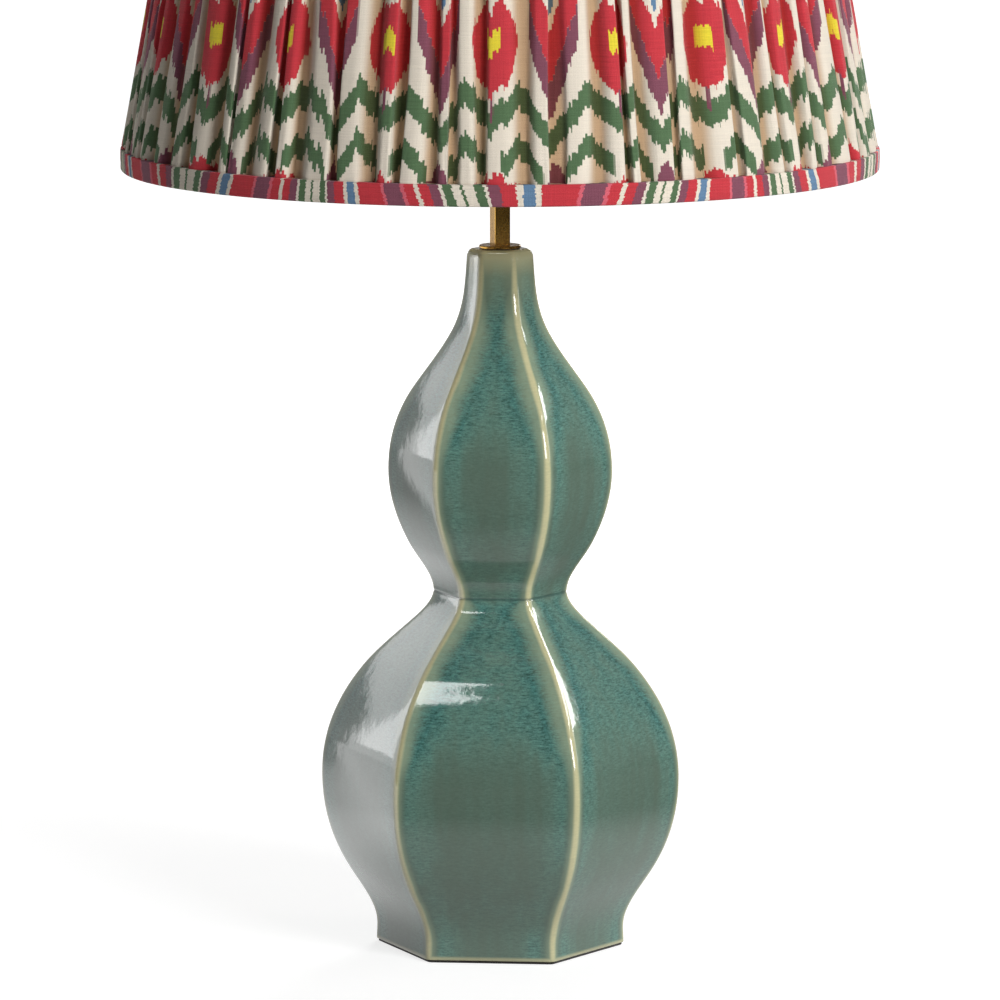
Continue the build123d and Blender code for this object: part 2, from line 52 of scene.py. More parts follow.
# The camera stands a little right of the gourd's front face and looks slightly down.
view = {"distance": 4.5, "turn": 5.0, "height": 0.9115, "tilt": 8.2, "lens": 280.3}


def placeCamera():
    data = bpy.data.cameras.new("camera")
    data.lens = view["lens"]
    camera = bpy.data.objects.new("camera", data)
    turn = radians(view["turn"])
    camera.location = (view["distance"] * sin(turn), -view["distance"] * cos(turn), view["height"])
    camera.rotation_euler = (radians(90 - view["tilt"]), 0, turn)
    bpy.context.scene.collection.objects.link(camera)
    bpy.context.scene.camera = camera


placeCamera()
print("camera placed")


# Small helpers for node trees. A Signal is one value, and sums on it add Math nodes.
class Signal:
    def __init__(self, tree, socket):
        self.tree = tree
        self.socket = socket

    def calc(self, operation, *others):
        node = self.tree.nodes.new("ShaderNodeMath")
        node.operation = operation
        for n, value in enumerate((self,) + others):
            plug(self.tree, value, node.inputs[n])
        return Signal(self.tree, node.outputs[0])

    def __add__(self, other):
        return self.calc("ADD", other)

    def __sub__(self, other):
        return self.calc("SUBTRACT", other)

    def __mul__(self, other):
        return self.calc("MULTIPLY", other)

    def __truediv__(self, other):
        return self.calc("DIVIDE", other)

    def flip(self):
        return self.calc("MULTIPLY_ADD", -1.0, 1.0)

    def step(self, low, high):  # 0 below low, 1 above high, smooth between
        node = self.tree.nodes.new("ShaderNodeMapRange")
        node.interpolation_type = "SMOOTHSTEP"
        for n, value in enumerate((self, low, high)):
            plug(self.tree, value, node.inputs[n])
        return Signal(self.tree, node.outputs[0])

    def inside(self, low, high, soft):
        return self.step(low - soft, low + soft) * self.step(high - soft, high + soft).flip()


def plug(tree, value, socket):
    if isinstance(value, Signal):
        tree.links.new(value.socket, socket)
    elif isinstance(value, bpy.types.NodeSocket):
        tree.links.new(value, socket)
    else:
        socket.default_value = value


def addNode(tree, kind, inputs=None, **settings):
    node = tree.nodes.new(kind)
    for label, value in settings.items():
        setattr(node, label, value)
    for label, value in (inputs or {}).items():
        plug(tree, value, node.inputs[label])
    return node


def dye(code):  # colour as it looks on screen, turned into Blender's linear values
    parts = [int(code[n:n + 2], 16) / 255 for n in (0, 2, 4)]
    return tuple(p / 12.92 if p <= 0.04045 else ((p + 0.055) / 1.055) ** 2.4 for p in parts) + (1.0,)


def mixColour(tree, share, first, second, mode="MIX"):
    node = addNode(tree, "ShaderNodeMix", data_type="RGBA", blend_type=mode)
    for n, value in ((0, share), (6, first), (7, second)):
        plug(tree, value, node.inputs[n])
    return node.outputs[2]


def shadeColour(tree, colour, amount):  # colour times a grey value around 1
    grey = addNode(tree, "ShaderNodeCombineColor", {0: amount, 1: amount, 2: amount}).outputs[0]
    return mixColour(tree, 1.0, colour, grey, "MULTIPLY")


def stretch(tree, place, factors):
    return addNode(tree, "ShaderNodeVectorMath", {0: place, 1: factors}, operation="MULTIPLY").outputs[0]


def millimetres(tree):  # place on the piece at rest, in millimetres
    return stretch(tree, addNode(tree, "ShaderNodeTexCoord").outputs["Object"], (1 / mm,) * 3)


def splitPlace(tree, place):
    node = addNode(tree, "ShaderNodeSeparateXYZ", {0: place})
    return [Signal(tree, socket) for socket in node.outputs]


def joinPlace(tree, x, y, z):
    return addNode(tree, "ShaderNodeCombineXYZ", {0: x, 1: y, 2: z}).outputs[0]


def cloud(tree, place, size, detail=2.0, rough=0.5):  # soft noise around 0.5, with one size for each axis
    scaled = stretch(tree, place, tuple(1 / s for s in size))
    inputs = {"Vector": scaled, "Scale": 1.0, "Detail": detail, "Roughness": rough}
    return Signal(tree, addNode(tree, "ShaderNodeTexNoise", inputs).outputs[0])


def chance(tree, value):  # an even random number for each whole value
    node = addNode(tree, "ShaderNodeTexWhiteNoise", {"W": value}, noise_dimensions="1D")
    return Signal(tree, node.outputs[0])


def bump(tree, height, distance):  # distance in millimetres
    inputs = {"Strength": 1.0, "Distance": distance * mm, "Height": height}
    return addNode(tree, "ShaderNodeBump", inputs).outputs[0]


def newGroup(name, inputs, outputs):
    tree = bpy.data.node_groups.new(name, "ShaderNodeTree")
    for direction, sockets in (("INPUT", inputs), ("OUTPUT", outputs)):
        for label, kind in sockets.items():
            tree.interface.new_socket(name=label, in_out=direction, socket_type="NodeSocket" + kind)
    start = tree.nodes.new("NodeGroupInput")
    end = tree.nodes.new("NodeGroupOutput")
    return tree, start, end


def placeGroup(tree, group, inputs):
    node = tree.nodes.new("ShaderNodeGroup")
    node.node_tree = group
    for label, value in inputs.items():
        plug(tree, value, node.inputs[label])
    return node


def newMaterial(name, **shaderValues):
    material = bpy.data.materials.new(name)
    material.use_nodes = True
    tree = material.node_tree
    shader = tree.nodes["Principled BSDF"]
    for label, value in shaderValues.items():
        shader.inputs[label].default_value = value
    return material, tree, shader


# Small helpers for meshes
def makeObject(name, points, faces, material, smooth=True):
    mesh = bpy.data.meshes.new(name)
    mesh.from_pydata(points, [], faces)
    mesh.materials.append(material)
    if smooth:
        mesh.shade_smooth()
    piece = bpy.data.objects.new(name, mesh)
    bpy.context.scene.collection.objects.link(piece)
    return piece


def settle(piece):  # put the result of the modifiers into the mesh
    result = piece.evaluated_get(bpy.context.evaluated_depsgraph_get())
    piece.data = bpy.data.meshes.new_from_object(result)
    piece.modifiers.clear()


def weaveRings(rings, closed):  # quads between rings of equal point counts
    count = len(rings[0])
    points = [p for ring in rings for p in ring]
    faces = []
    for row in range(len(rings) if closed else len(rings) - 1):
        above = (row + 1) % len(rings)
        for n in range(count):
            far = (n + 1) % count
            faces.append((row * count + n, row * count + far, above * count + far, above * count + n))
    return points, faces


def inMetres(rings):
    return [[p * mm for p in ring] for ring in rings]


def capEnds(points, faces, count):  # one flat face over the first ring and one over the last
    faces.append(tuple(range(count - 1, -1, -1)))
    faces.append(tuple(range(len(points) - count, len(points))))


def quadCorners(n, count):  # column and row of each corner of a woven quad
    row, column = divmod(n, count)
    return (column, row), (column + 1, row), (column + 1, row + 1), (column, row + 1)


def fuzzed(ring, amount):  # each point moved outwards by what amount gives for it
    return [p + Vector((p.x, p.y, 0)).normalized() * amount(p) for p in ring]


def turnedRings(outline, steps):  # outline of (radius, height) in millimetres
    turns = [2 * pi * n / steps for n in range(steps)]
    return [[(r * cos(a) * mm, r * sin(a) * mm, z * mm) for a in turns] for r, z in outline]


def arc(centre, radius, start, end, steps):  # points of an arc in a turned outline, angles in degrees
    turns = [radians(start + (end - start) * n / steps) for n in range(steps + 1)]
    return [(centre[0] + radius * cos(a), centre[1] + radius * sin(a)) for a in turns]


def finishPiece(piece, body, slot, *replaced):
    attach(piece, body)
    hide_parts(*replaced)


# Shared effects: threads of linen, worn metal, and the fine grain of moulded or painted things
weaveSettings = {"thread": 0.55, "slubLength": 26.0, "slubHeight": 0.9}


def makeWeave():
    outputs = {"Shade": "Float", "Height": "Float"}
    tree, start, end = newGroup("linenWeave", {"Along": "Float", "Up": "Float"}, outputs)
    along, up = [Signal(tree, start.outputs[n]) for n in range(2)]
    place = joinPlace(tree, along, up, 0.0)
    length, height, thread = weaveSettings["slubLength"], weaveSettings["slubHeight"], weaveSettings["thread"]
    weft = cloud(tree, place, (length, height, 1), 2.0, 0.6)
    warp = cloud(tree, place, (height * 0.8, length * 1.3, 1), 2.0, 0.6)
    speck = cloud(tree, place, (thread * 1.6, thread, 1), 1.0)
    cross = (along * (2 * pi / thread)).calc("SINE") * (up * (2 * pi / thread)).calc("SINE")
    plug(tree, weft * 0.55 + warp * 0.35 + speck * 0.3, end.inputs["Shade"])
    plug(tree, cross * 0.2 + weft * 0.9 + warp * 0.6 + speck * 0.4, end.inputs["Height"])
    return tree


def makeWear():
    inputs = {"Place": "Vector", "Clean": "Color", "Aged": "Color", "Size": "Float"}
    tree, start, end = newGroup("wornMetal", inputs, {"Colour": "Color", "Mask": "Float", "Height": "Float"})
    node = addNode(tree, "ShaderNodeVectorMath", {0: start.outputs["Place"]}, operation="SCALE")
    plug(tree, Signal(tree, start.outputs["Size"]).calc("POWER", -1.0), node.inputs["Scale"])
    stain = cloud(tree, node.outputs[0], (9, 9, 14), 5.0, 0.62)
    brushed = cloud(tree, node.outputs[0], (0.5, 0.5, 16), 2.0)
    spots = cloud(tree, node.outputs[0], (1.4, 1.4, 1.4), 3.0)
    mask = (stain * 0.7 + spots * 0.3).step(0.42, 0.62)
    colour = mixColour(tree, mask, start.outputs["Clean"], start.outputs["Aged"])
    plug(tree, shadeColour(tree, colour, brushed * 0.5 + 0.75), end.inputs["Colour"])
    plug(tree, mask, end.inputs["Mask"])
    plug(tree, brushed * 0.7 + spots * 0.3, end.inputs["Height"])
    return tree


def makeGrain():
    inputs = {"Place": "Vector", "Colour": "Color", "Size": "Float", "Amount": "Float"}
    tree, start, end = newGroup("fineGrain", inputs, {"Colour": "Color", "Height": "Float"})
    node = addNode(tree, "ShaderNodeVectorMath", {0: start.outputs["Place"]}, operation="SCALE")
    plug(tree, Signal(tree, start.outputs["Size"]).calc("POWER", -1.0), node.inputs["Scale"])
    fine = cloud(tree, node.outputs[0], (1, 1, 1), 3.0, 0.6)
    broad = cloud(tree, node.outputs[0], (22, 22, 30), 2.0)
    amount = Signal(tree, start.outputs["Amount"])
    shade = (fine * 0.6 + broad * 0.4 - 0.5) * amount + 1.0
    plug(tree, shadeColour(tree, start.outputs["Colour"], shade), end.inputs["Colour"])
    plug(tree, fine, end.inputs["Height"])
    return tree


weaveGroup = makeWeave()
wearGroup = makeWear()
grainGroup = makeGrain()


# The ceramic gourd. Stations along its outline: height, ridge radius, and radius gained per millimetre up.
gourdSettings = {
    "stations": [
        (1.5, 72.9, 0.0), (16.0, 73.1, 0.21), (45.0, 89.3, 0.63), (101.0, 105.0, 0.0), (165.0, 80.2, -0.82),
        (192.0, 51.9, -1.13), (210.0, 39.1, 0.0), (238.0, 53.7, 0.53), (281.0, 65.6, 0.0),
        (330.0, 50.4, -0.69), (366.0, 26.6, -0.45), (411.0, 18.9, -0.11),
    ],
    "ridgeRound": 4.8, "mouthRound": 5.8, "shoulder": 3.6, "shoulderSteps": 8, "hole": 6.2, "wall": 5.5,
    "roof": 8.0, "footLip": (72.2, 72.7), "insideRound": 3.0, "pocketRadius": 67.0, "pocketRound": 3.5,
    "pocketTop": 24.0, "pocketRoof": 60.0, "bulge": 0.009, "rowStep": 2.0, "arcPoints": 8, "facePoints": 18,
    "crease": 209.6, "creaseDepth": 0.4, "creaseWidth": 0.75, "waver": 0.06,
    "inletHeight": 8.9, "inletHole": 4.8, "inletSteps": 40,
}
ridgeCount = 6


def gourdProfile(height):  # ridge radius and its slope
    stations = gourdSettings["stations"]
    pairs = zip(stations, stations[1:])
    (z0, r0, s0), (z1, r1, s1) = next(p for p in pairs if height <= p[1][0])
    span = z1 - z0
    t = (height - z0) / span
    radius = (2 * t**3 - 3 * t**2 + 1) * r0 + (3 * t**2 - 2 * t**3) * r1
    radius += span * ((t**3 - 2 * t**2 + t) * s0 + (t**3 - t**2) * s1)
    slope = 6 * (t**2 - t) * (r0 - r1) / span + (3 * t**2 - 4 * t + 1) * s0 + (3 * t**2 - 2 * t) * s1
    return radius, slope


def ridgePoint(middle, centre, rounding, angle, height):
    x = centre * cos(middle) + rounding * cos(angle)
    y = centre * sin(middle) + rounding * sin(angle)
    return Vector((x, y, height))


def hexRing(radius, rounding, height, bulge=0.0):  # a row round the gourd, ridges rounded and faces crowned
    centre = radius - rounding
    half = pi / ridgeCount - 4 * bulge
    arcCount, faceCount = gourdSettings["arcPoints"], gourdSettings["facePoints"]
    ring = []
    for side in range(ridgeCount):
        middle = 2 * pi * side / ridgeCount
        after = middle + 2 * pi / ridgeCount
        for n in range(arcCount + 1):
            a = middle + (2 * n / arcCount - 1) * half
            ring.append(ridgePoint(middle, centre, rounding, a, height))
        first = ring[-1]
        last = ridgePoint(after, centre, rounding, after - half, height)
        outward = Vector((cos(middle + pi / ridgeCount), sin(middle + pi / ridgeCount), 0))
        crown = bulge * (last - first).length
        for n in range(1, faceCount):
            s = n / faceCount
            ring.append(first.lerp(last, s) + outward * crown * 4 * s * (1 - s))
    return ring


def circleRing(radius, height):
    like = hexRing(10.0, 5.0, 0.0)
    return [Vector((p.x, p.y, 0)).normalized() * radius + Vector((0, 0, height)) for p in like]


def gourdHeights(low, high):
    step, crease = gourdSettings["rowStep"], gourdSettings["crease"]
    count = int((high - low) / step)
    coarse = [low + (high - low) * n / count for n in range(count + 1)]
    fine = [crease + 0.25 * n for n in range(-12, 13)]
    return sorted([z for z in coarse if abs(z - crease) > 3.2] + fine)


def waver(place):  # slow hand-made unevenness of the clay
    return gourdSettings["waver"] * (noise.noise(place / 34) + 0.25 * noise.noise(place / 9))


def gourdSkin(material):
    g = gourdSettings
    foot, mouth = g["stations"][0][0], g["stations"][-1][0]
    lipLow, lipHigh = g["footLip"]
    rings = [hexRing(lipLow, g["ridgeRound"], foot), hexRing(lipHigh, g["ridgeRound"], foot + 0.25)]
    for z in gourdHeights(foot + 0.8, mouth - g["shoulder"]):
        share = max(0.0, (z - g["crease"]) / (mouth - g["crease"]))
        rounding = g["ridgeRound"] + (g["mouthRound"] - g["ridgeRound"]) * share**3
        groove = g["creaseDepth"] * exp(-((z - g["crease"]) / g["creaseWidth"]) ** 2)
        ring = hexRing(gourdProfile(z)[0] - groove, rounding, z, g["bulge"])
        rings.append(fuzzed(ring, waver))
    top = mouth - g["shoulder"]
    for n in range(1, g["shoulderSteps"] + 1):
        turn = pi / 2 * n / g["shoulderSteps"]
        inset = g["shoulder"] * (1 - cos(turn))
        lift = g["shoulder"] * sin(turn)
        rings.append(hexRing(g["stations"][-1][1] - inset, g["mouthRound"] - inset, top + lift))
    hole = g["hole"]
    rings += [circleRing(hole + 4, mouth), circleRing(hole + 0.8, mouth), circleRing(hole, mouth - 0.8)]
    roof = mouth - g["roof"]
    rings += [circleRing(hole, roof)]
    inner = [s for s in g["stations"] if g["pocketTop"] < s[0] < roof]
    for z, radius, slope in [(roof, gourdProfile(roof)[0], gourdProfile(roof)[1])] + inner[::-1]:
        rings.append(hexRing(radius - g["wall"] * hypot(1, slope), g["insideRound"], z))
    rings.append(hexRing(g["pocketRoof"], g["insideRound"], g["pocketTop"]))
    rings += [hexRing(g["pocketRadius"], g["pocketRound"], z) for z in (g["pocketTop"], foot)]
    points, faces = weaveRings(inMetres(rings), closed=True)
    return makeObject("glazed_gourd", points, faces, material)


def cutInlet(piece):  # the cable's way through the back of the foot
    hole, height, steps = [gourdSettings[name] for name in ("inletHole", "inletHeight", "inletSteps")]
    turns = [2 * pi * n / steps for n in range(steps)]
    rings = [[(hole * cos(a) * mm, y * mm, (height - hole * sin(a)) * mm) for a in turns] for y in (50.0, 80.0)]
    points, faces = weaveRings(rings, closed=False)
    capEnds(points, faces, steps)
    cutter = makeObject("inlet_cutter", points, faces, piece.data.materials[0])
    tool = piece.modifiers.new("inlet", "BOOLEAN")
    tool.object = cutter
    tool.operation = "DIFFERENCE"
    tool.solver = "EXACT"
    settle(piece)
    bpy.data.objects.remove(cutter)


def markGlaze(piece):  # what the glaze needs at each point: how far the ridge is, and how far it faces up
    mesh = piece.data
    gap = mesh.attributes.new("ridgeGap", "FLOAT", "POINT")
    upward = mesh.attributes.new("upward", "FLOAT", "POINT")
    low, high = gourdSettings["stations"][0][0], gourdSettings["stations"][-1][0]
    for n, vertex in enumerate(mesh.vertices):
        x, y, z = vertex.co / mm
        turn = atan2(y, x)
        middle = round(turn * ridgeCount / (2 * pi)) * 2 * pi / ridgeCount
        slope = gourdProfile(min(high, max(low, z)))[1]
        gap.data[n].value = 1.155 * hypot(x, y) * abs(sin(turn - middle))
        upward.data[n].value = -slope / hypot(1, slope)


glazeColours = {
    "deep": dye("3f6f6a"), "teal": dye("5c7f73"), "grey": dye("576a5d"), "pale": dye("95a388"),
    "straw": dye("c4bf96"), "line": dye("1f3f3e"),
}


def glazeMaterial():
    material, tree, shader = newMaterial("celadonGlaze", **{"Roughness": 0.06, "IOR": 1.5})
    place = millimetres(tree)
    z = splitPlace(tree, place)[2]
    gap, upward = [Signal(tree, addNode(tree, "ShaderNodeAttribute", attribute_name=label).outputs["Fac"])
                   for label in ("ridgeGap", "upward")]
    wander = cloud(tree, place, (16, 16, 34), 2.0) - 0.5
    streak = cloud(tree, place, (7, 7, 120), 3.0)
    patch = cloud(tree, place, (24, 24, 44), 3.0)
    ripple = cloud(tree, place, (3.4, 3.4, 0.85), 2.0, 0.55)
    grit = cloud(tree, place, (1.1, 1.1, 0.8), 2.0, 0.6)
    reach = gap + wander * 6.0
    band = reach.step(3.5, 9.0) * reach.step(9.0, 27.0).flip()
    shoulder = upward.step(0.02, 0.58)
    foot = upward.step(-0.7, 0.1)
    pool = band * (foot * 0.34 + 0.3) + shoulder * 0.72 + (streak - 0.5) * 0.9 + (patch - 0.5) * 0.55
    colour = mixColour(tree, pool.step(-0.25, 0.95), glazeColours["grey"], glazeColours["teal"])
    colour = mixColour(tree, pool.step(0.35, 1.6), colour, glazeColours["deep"])
    crumb = addNode(tree, "ShaderNodeTexVoronoi", {"Vector": place, "Scale": 0.5}, feature="DISTANCE_TO_EDGE")
    crack = Signal(tree, crumb.outputs["Distance"]).step(0.0, 0.1).flip()
    depth = pool.step(-0.3, 1.5)
    mottle = (ripple - 0.5) * (depth * 1.9 + 0.3) + (grit - 0.5) * (depth * 0.9 + 0.15) + 1.0
    mottle = mottle - crack * (depth * 0.17 + 0.03)
    colour = shadeColour(tree, colour, mottle)
    spread = gap / (shoulder * 1.1 + 0.75) + wander * 5.0
    paleGlazeAndNeckLight = spread.step(1.5, 8.5).flip() * (streak * 0.5 + 0.4)
    # Painted light: the upper neck is lightened towards the pale colour, standing in for the light that the shade
    # keeps off it
    paleGlazeAndNeckLight = paleGlazeAndNeckLight.calc("MAXIMUM", (z + wander * 20.0).step(368, 404) * 0.6)
    colour = mixColour(tree, paleGlazeAndNeckLight, colour, glazeColours["pale"])
    core = (gap + wander * 2.0).step(0.7, 3.3).flip() * (ripple * 0.5 + 0.65)
    core = core.calc("MAXIMUM", z.step(2.4, 4.6).flip() * 0.75).calc("MAXIMUM", z.step(394, 411) * 0.85)
    colour = mixColour(tree, core, colour, glazeColours["straw"])
    crease = (z - gourdSettings["crease"]).calc("ABSOLUTE").step(0.3, 1.2).flip()
    colour = mixColour(tree, crease * 0.5, colour, glazeColours["line"])
    plug(tree, colour, shader.inputs["Base Color"])
    swell = cloud(tree, place, (7, 7, 9), 3.0, 0.55)
    plug(tree, bump(tree, swell + ripple * 0.12, 0.06), shader.inputs["Normal"])
    return material


gourd = gourdSkin(glazeMaterial())
cutInlet(gourd)
markGlaze(gourd)
finishPiece(gourd, "lamp_base", "celadon_glaze", "ceramic_body")
print("gourd glazed")


# The black felt pad under the foot
feltSettings = {
    "radius": 71.8, "rounding": 3.5, "thick": 1.5, "soft": 0.45, "fuzz": 0.12, "fuzzSize": 2.5,
    "colour": dye("17120f"),
}


def feltMaterial():
    material, tree, shader = newMaterial("blackFelt", **{"Roughness": 0.95, "Sheen Weight": 0.3})
    place = millimetres(tree)
    inputs = {"Place": place, "Colour": feltSettings["colour"], "Size": 0.5, "Amount": 1.2}
    fibres = placeGroup(tree, grainGroup, inputs)
    plug(tree, fibres.outputs["Colour"], shader.inputs["Base Color"])
    plug(tree, bump(tree, fibres.outputs["Height"], 0.25), shader.inputs["Normal"])
    return material


def makeFelt():
    f = feltSettings
    radius, thick, soft = f["radius"], f["thick"], f["soft"]
    outline = [(radius - 14, 0), (radius - 5, 0), (radius - soft, 0), (radius - 0.12, soft * 0.45)]
    outline += [(radius, thick * 0.5), (radius - 0.12, thick - soft * 0.4)]
    outline += [(radius - soft, thick), (radius - 5, thick), (radius - 14, thick)]
    rings = []
    for r, z in outline:
        ring = hexRing(r, min(f["rounding"], r / 4), z)
        rings.append(fuzzed(ring, lambda p: f["fuzz"] * noise.noise(p / f["fuzzSize"])))
    points, faces = weaveRings(inMetres(rings), closed=False)
    capEnds(points, faces, len(rings[0]))
    pad = makeObject("felt_pad", points, faces, feltMaterial())
    finishPiece(pad, "lamp_base", "black_felt", "base_felt")
    side = radius * mm
    2 * side
    3 ** 0.5 * side
    1.5 * 3 ** 0.5 * side**2


makeFelt()
print("felt pad laid")


# The shade: gathered printed linen over a wire frame, its edges bound with bands of the same cloth
shadeSettings = {
    "bottom": 458.0, "height": 280.0, "radius": 220.0, "slope": 0.175, "binding": 12.4, "proud": 2.0,
    "folds": 74, "columns": 20, "rows": 42, "depth": 6.6, "crown": 1.5, "tuck": 4.6, "cloth": 0.35,
    "repeats": 21, "repeatWidth": 81.0, "wireInset": 6.05, "wireRadius": 1.75, "strutInset": 4.65,
}
shadeTop = shadeSettings["bottom"] + shadeSettings["height"]
hemLow = shadeSettings["bottom"] + shadeSettings["binding"]
hemHigh = shadeTop - shadeSettings["binding"]


def crestRadius(height):
    s = shadeSettings
    return s["radius"] - s["proud"] - s["slope"] * (height - hemLow)


def foldEdges():  # the valleys between folds, uneven as hand gathers are
    folds = shadeSettings["folds"]
    widths = [1 + 0.36 * sin(2.4 * n) + 0.26 * sin(5.3 * n + 1) for n in range(folds)]
    angles = [0.0]
    for width in widths:
        angles.append(angles[-1] + 2 * pi * width / sum(widths))
    return angles


def foldPoint(fold, t, left, right, height):  # one point of the gathered cloth, in millimetres
    s = shadeSettings
    rise = (height - hemLow) / (hemHigh - hemLow)
    edge = min(abs(height - hemLow), abs(hemHigh - height))
    wave = 0.5 - 0.5 * cos(2 * pi * t)
    cut = 0.36 + 0.1 * sin(3.7 * fold) + 0.05 * sin(6 * rise + 2.1 * fold)
    sharp = 4.2 + 1.2 * sin(1.9 * fold)
    low, high = tanh(-sharp * cut), tanh(sharp * (1 - cut))
    crest = (tanh(sharp * (wave - cut)) - low) / (high - low)
    share = 0.86 + 0.14 * sin(1.7 * fold + 1.3 * rise)
    depth = s["depth"] * share * (1 - 0.12 * sin(pi * rise))
    radius = crestRadius(height) + s["crown"] - s["depth"] + depth * crest + (s["depth"] - depth) * 0.5
    radius += 0.3 * exp(-edge / 16) * sin(2 * pi * (3 * t + 0.37 * fold)) * crest
    lean = 0.36 * sin(2.9 * fold + 0.8) + 0.14 * sin(4.1 * fold + 5 * rise)
    drift = 0.1 * sin(1.3 * fold + 4.4 * rise) + 0.06 * sin(2.2 * fold - 9 * rise)
    angle = left + (right - left) * (t + (lean * 0.6 * crest + drift) * sin(pi * t))
    if height < hemLow:
        radius = min(radius, s["radius"] - 1.7)
    return radius, angle, crest


def coverMesh(material):
    s = shadeSettings
    edges = foldEdges()
    low, high = hemLow - s["tuck"], hemHigh + s["tuck"]
    heights = [low + (high - low) * n / s["rows"] for n in range(s["rows"] + 1)]
    columns = [(fold, k / s["columns"] + 0.03 * sin(4 * pi * k / s["columns"]))
               for fold in range(s["folds"]) for k in range(s["columns"])]
    rings, crests = [], []
    for z in heights:
        ring = []
        for fold, t in columns:
            radius, angle, crest = foldPoint(fold, t, edges[fold], edges[fold + 1], z)
            ring.append(Vector((radius * cos(angle), radius * sin(angle), z)))
            crests.append(crest)
        rings.append(ring)
    middle = rings[len(rings) // 2]
    travel = [0.0]
    for first, second in zip(middle, middle[1:] + middle[:1]):
        travel.append(travel[-1] + (second - first).length)
    flatWidth = s["repeats"] * s["repeatWidth"]
    points, faces = weaveRings(inMetres(rings), closed=False)
    piece = makeObject("ikat_cover", points, faces, material)
    layer = piece.data.uv_layers.new(name="cloth")
    # The second layer holds each point's crest share, which the cover's painted shade in the fold valleys reads
    folds = piece.data.uv_layers.new(name="folds")
    count = len(columns)
    for n in range(len(faces)):
        for corner, (c, r) in enumerate(quadCorners(n, count)):
            across = travel[c] / travel[-1] * flatWidth
            layer.data[4 * n + corner].uv = (across * mm, (heights[r] - hemLow) * mm)
            folds.data[4 * n + corner].uv = (crests[r * count + c % count], heights[r] * mm)
    thick = piece.modifiers.new("cloth", "SOLIDIFY")
    thick.thickness = s["cloth"] * mm
    thick.offset = -1
    settle(piece)
    return piece, (flatWidth * mm, (high - low) * hypot(1, s["slope"]) * mm)


# Printed ikat: rows of tulips and flames over zigzags. Sizes are millimetres of flat cloth.
ikatSettings = {
    "across": shadeSettings["repeatWidth"], "rise": 128.0, "thread": 1.1, "bundle": 3.3, "threadJag": 3.4,
    "bundleJag": 6.0, "soft": 0.35, "cream": dye("e0d6c6"), "red": dye("c0363f"), "plum": dye("7d4858"),
    "green": dye("506b4a"), "blue": dye("5f7f9e"), "yellow": dye("e2cf3a"), "pink": dye("d0606e"),
    # shadow is not a dye: it is the tan of the painted shade in the fold valleys
    "shadow": dye("c9a57c"),
}
clothFinish = {"Roughness": 0.85, "Sheen Weight": 0.12, "Specular IOR Level": 0.2}


def clothPlace(tree):  # millimetres along and up the flat cloth
    place = addNode(tree, "ShaderNodeUVMap", uv_map="cloth").outputs[0]
    return splitPlace(tree, stretch(tree, place, (1 / mm,) * 3))[:2]


def makeIkat():
    k = ikatSettings
    outputs = {"Colour": "Color", "Dyed": "Float"}
    tree, start, end = newGroup("ikatPrint", {"Along": "Float", "Up": "Float"}, outputs)
    along, up = [Signal(tree, start.outputs[n]) for n in range(2)]
    soft = k["soft"]
    row = (up / k["rise"]).calc("FLOOR")
    thread = (along / k["thread"]).calc("FLOOR")
    bundle = (along / k["bundle"] + (chance(tree, thread) - 0.5) * 0.5).calc("FLOOR")
    jag = (chance(tree, thread + 0.37) - 0.5) * k["threadJag"]
    jag = jag + (chance(tree, bundle + 0.71) - 0.5) * k["bundleJag"]
    v = up - row * k["rise"] + jag
    across = (thread + 0.5) * (k["thread"] / k["across"]) + row * 0.5 + (chance(tree, row + 0.2) - 0.5) * 0.04
    a = ((across + 0.5).calc("FRACT") - 0.5).calc("ABSOLUTE") * k["across"]  # from a tulip's middle
    b = a.calc("MULTIPLY_ADD", -1.0, k["across"] / 2)  # from a flame's middle

    lift = a.calc("MULTIPLY_ADD", 0.8, 33.0).calc("MINIMUM", a.calc("MULTIPLY_ADD", -1.3, 75.6))
    bandOne = (v - lift).calc("ABSOLUTE").step(7.0 - soft, 7.0 + soft).flip()
    lower = (v - lift + 28.0).calc("ABSOLUTE").step(6.0 - soft, 6.0 + soft).flip()
    bandTwo = lower * a.inside(5.0, 33.0, soft)
    colour = mixColour(tree, bandTwo.calc("MAXIMUM", bandOne), k["cream"], k["green"])
    dyed = bandTwo.calc("MAXIMUM", bandOne)

    height = chance(tree, (across + 0.5).calc("FLOOR") + 0.6) * 13.0 - 3.0
    tips = (a * -0.55 + height - v).step(-soft, soft)
    colour = mixColour(tree, tips, colour, k["red"])
    stubs = (b.calc("MULTIPLY_ADD", -1.6, 12.0) - v).step(-soft, soft)
    colour = mixColour(tree, stubs, colour, k["plum"])

    chevron = v - b * 2.6
    near = b.step(17.0 - soft, 17.0 + soft).flip()
    for low, high, name in ((36.0, 56.0, "plum"), (56.0, 84.0, "red"), (93.0, 120.0, "blue")):
        part = chevron.inside(low, high, soft) * near
        colour = mixColour(tree, part, colour, k[name])
        dyed = dyed.calc("MAXIMUM", part)

    reach = ((v - 76.0).calc("ABSOLUTE") / 27.5).calc("POWER", 1.6) + (a / 15.8).calc("POWER", 1.8)
    notch = (v - 94.0 - a * 1.5).step(-soft, soft).flip()
    tulip = reach.step(0.98, 1.02).flip() * notch
    stalk = a.step(0.7, 1.3).flip() * v.inside(36.0, 52.0, soft)
    colour = mixColour(tree, stalk, colour, k["plum"])
    colour = mixColour(tree, tulip, colour, k["red"])
    eye = a.step(4.6, 4.9).flip() * v.inside(71.0, 82.5, soft)
    colour = mixColour(tree, eye, colour, k["yellow"])
    for part in (tips, stubs, tulip, stalk):
        dyed = dyed.calc("MAXIMUM", part)
    plug(tree, colour, end.inputs["Colour"])
    plug(tree, dyed, end.inputs["Dyed"])
    return tree


